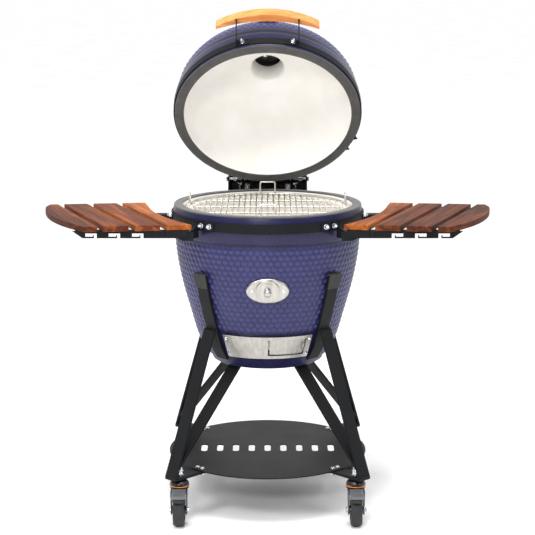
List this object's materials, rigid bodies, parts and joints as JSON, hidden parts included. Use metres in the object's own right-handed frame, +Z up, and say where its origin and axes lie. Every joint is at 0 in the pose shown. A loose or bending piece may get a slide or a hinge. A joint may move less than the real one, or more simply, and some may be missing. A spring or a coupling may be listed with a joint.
{
  "type": "kamado ceramic grill",
  "caption": "Egg-shaped ceramic charcoal grill on a steel caster stand, lid hinged open, with slatted wooden side shelves, draft door and top vent.",
  "frame": {"origin": "on the floor under the casters, on the vertical axis of the ceramic bowl", "axes": "+Z up along the bowl's axis, -Y towards the cook (draft door, handle when closed), +X to the right-hand shelf"},
  "size_m": [1.28, 0.6772, 1.4061],
  "materials": {
    "glaze": "crackled dimpled gloss glaze, blue-violet over black",
    "felt": "dense grey wire-mesh felt",
    "fireclay": "bare cream fireclay",
    "cast_iron": "matt cast",
    "stainless": "polished and lightly brushed",
    "bolts": "bright zinc",
    "springs": "bare spring steel",
    "handle_wood": "oiled light hardwood",
    "shelf_wood": "oiled reddish acacia",
    "powder_coat": "satin charcoal powder coat",
    "rubber": "matt",
    "black_plastic": "moulded gloss",
    "tyre": "matt grey-black",
    "seal": "moulded orange",
    "pedal": "ridged moulded grey",
    "gauge": "steel bezel with a pale dial"
  },
  "bodies": {
    "stand": {"base_bowl": "glaze", "base_gasket": "felt", "fire_box": "fireclay", "fire_ring": "fireclay", "charcoal_grate": "cast_iron", "lower_band": "powder_coat", "bowl_fasteners": "bolts", "hinge_base": "powder_coat", "hinge_pin": "bolts", "hinge_springs": "springs", "draft_frame": "stainless", "port_plate": "stainless", "cradle_straps": "powder_coat", "cradle_pads": "rubber", "outer_legs": "powder_coat", "inner_braces": "powder_coat", "foot_bars": "powder_coat", "lower_plate": "powder_coat", "stand_fasteners": "bolts", "caster_tops": "black_plastic", "caster_seals": "seal", "shelf_brackets": "powder_coat", "shelf_pivots": "bolts"},
    "lid": {"lid_dome": "glaze", "lid_gasket": "felt", "lid_band": "powder_coat", "lid_bolts": "bolts", "handle_grip": "handle_wood", "handle_brackets": "powder_coat", "hinge_lid_plate": "powder_coat", "thermometer": "gauge", "chimney_collar": "cast_iron"},
    "top_vent": {"vent_disc": "cast_iron"},
    "draft_slider": {"draft_door": "stainless"},
    "port_cover": {"port_cover": "stainless"},
    "grate": {"cooking_grate": "stainless"},
    "shelf_left": {"shelf_left_slats": "shelf_wood", "shelf_left_arms": "powder_coat", "shelf_left_screws": "bolts"},
    "shelf_right": {"shelf_right_slats": "shelf_wood", "shelf_right_arms": "powder_coat", "shelf_right_screws": "bolts"},
    "swivel_fl": {"caster_fork_fl": "black_plastic", "caster_axle_fl": "bolts"},
    "wheel_fl": {"caster_tyre_fl": "tyre", "caster_hub_fl": "black_plastic"},
    "swivel_fr": {"caster_fork_fr": "black_plastic", "caster_axle_fr": "bolts"},
    "wheel_fr": {"caster_tyre_fr": "tyre", "caster_hub_fr": "black_plastic"},
    "swivel_rr": {"caster_fork_rr": "black_plastic", "caster_axle_rr": "bolts"},
    "wheel_rr": {"caster_tyre_rr": "tyre", "caster_hub_rr": "black_plastic"},
    "swivel_rl": {"caster_fork_rl": "black_plastic", "caster_axle_rl": "bolts"},
    "wheel_rl": {"caster_tyre_rl": "tyre", "caster_hub_rl": "black_plastic"},
    "pedal_fl": {"brake_pedal_fl": "pedal"},
    "pedal_fr": {"brake_pedal_fr": "pedal"}
  },
  "joints": [
    {"name": "lid_close", "type": "hinge", "parent": "stand", "child": "lid", "pos_m": [0, 0.281, 0.8895], "axis": [1, 0, 0], "range_deg": [0, 52.4], "stiffness_Nm_per_rad": 36, "springref_deg": -26.93, "deforming": ["hinge_springs"]},
    {"name": "top_vent_turn", "type": "hinge", "parent": "lid", "child": "top_vent", "pos_m": [0.051, 0.31245, 1.26839], "axis": [0, 0.7923, 0.6101], "range_deg": [0, 90]},
    {"name": "draft_slide", "type": "hinge", "parent": "stand", "child": "draft_slider", "pos_m": [0, 0, 0.486], "axis": [0, 0, 1], "range_deg": [-26, 0]},
    {"name": "port_cover_turn", "type": "hinge", "parent": "stand", "child": "port_cover", "pos_m": [0, -0.246, 0.6565], "axis": [0, -0.9877, -0.1564], "range_deg": [0, 90]},
    {"name": "grate_lift", "type": "slide", "parent": "stand", "child": "grate", "axis": [0, 0, -1], "range_m": [-0.15, 0]},
    {"name": "shelf_right_fold", "type": "hinge", "parent": "stand", "child": "shelf_right", "pos_m": [0.283, 0, 0.8085], "axis": [0, 1, 0], "range_deg": [0, 90]},
    {"name": "shelf_left_fold", "type": "hinge", "parent": "stand", "child": "shelf_left", "pos_m": [-0.283, 0, 0.8085], "axis": [0, -1, 0], "range_deg": [0, 90]},
    {"name": "swivel_turn_fl", "type": "hinge", "parent": "stand", "child": "swivel_fl", "pos_m": [-0.24466, -0.24466, 0.1045], "axis": [0, 0, 1], "continuous": true},
    {"name": "wheel_spin_fl", "type": "hinge", "parent": "swivel_fl", "child": "wheel_fl", "pos_m": [-0.24466, -0.27466, 0.045], "axis": [1, 0, 0], "continuous": true},
    {"name": "pedal_press_fl", "type": "hinge", "parent": "swivel_fl", "child": "pedal_fl", "pos_m": [-0.24466, -0.29166, 0.0985], "axis": [1, 0, 0], "range_deg": [0, 8]},
    {"name": "swivel_turn_fr", "type": "hinge", "parent": "stand", "child": "swivel_fr", "pos_m": [0.24466, -0.24466, 0.1045], "axis": [0, 0, 1], "continuous": true},
    {"name": "wheel_spin_fr", "type": "hinge", "parent": "swivel_fr", "child": "wheel_fr", "pos_m": [0.24466, -0.27466, 0.045], "axis": [1, 0, 0], "continuous": true},
    {"name": "pedal_press_fr", "type": "hinge", "parent": "swivel_fr", "child": "pedal_fr", "pos_m": [0.24466, -0.29166, 0.0985], "axis": [1, 0, 0], "range_deg": [0, 8]},
    {"name": "swivel_turn_rr", "type": "hinge", "parent": "stand", "child": "swivel_rr", "pos_m": [0.24466, 0.24466, 0.1045], "axis": [0, 0, 1], "continuous": true},
    {"name": "wheel_spin_rr", "type": "hinge", "parent": "swivel_rr", "child": "wheel_rr", "pos_m": [0.24466, 0.21466, 0.045], "axis": [1, 0, 0], "continuous": true},
    {"name": "swivel_turn_rl", "type": "hinge", "parent": "stand", "child": "swivel_rl", "pos_m": [-0.24466, 0.24466, 0.1045], "axis": [0, 0, 1], "continuous": true},
    {"name": "wheel_spin_rl", "type": "hinge", "parent": "swivel_rl", "child": "wheel_rl", "pos_m": [-0.24466, 0.21466, 0.045], "axis": [1, 0, 0], "continuous": true}
  ]
}
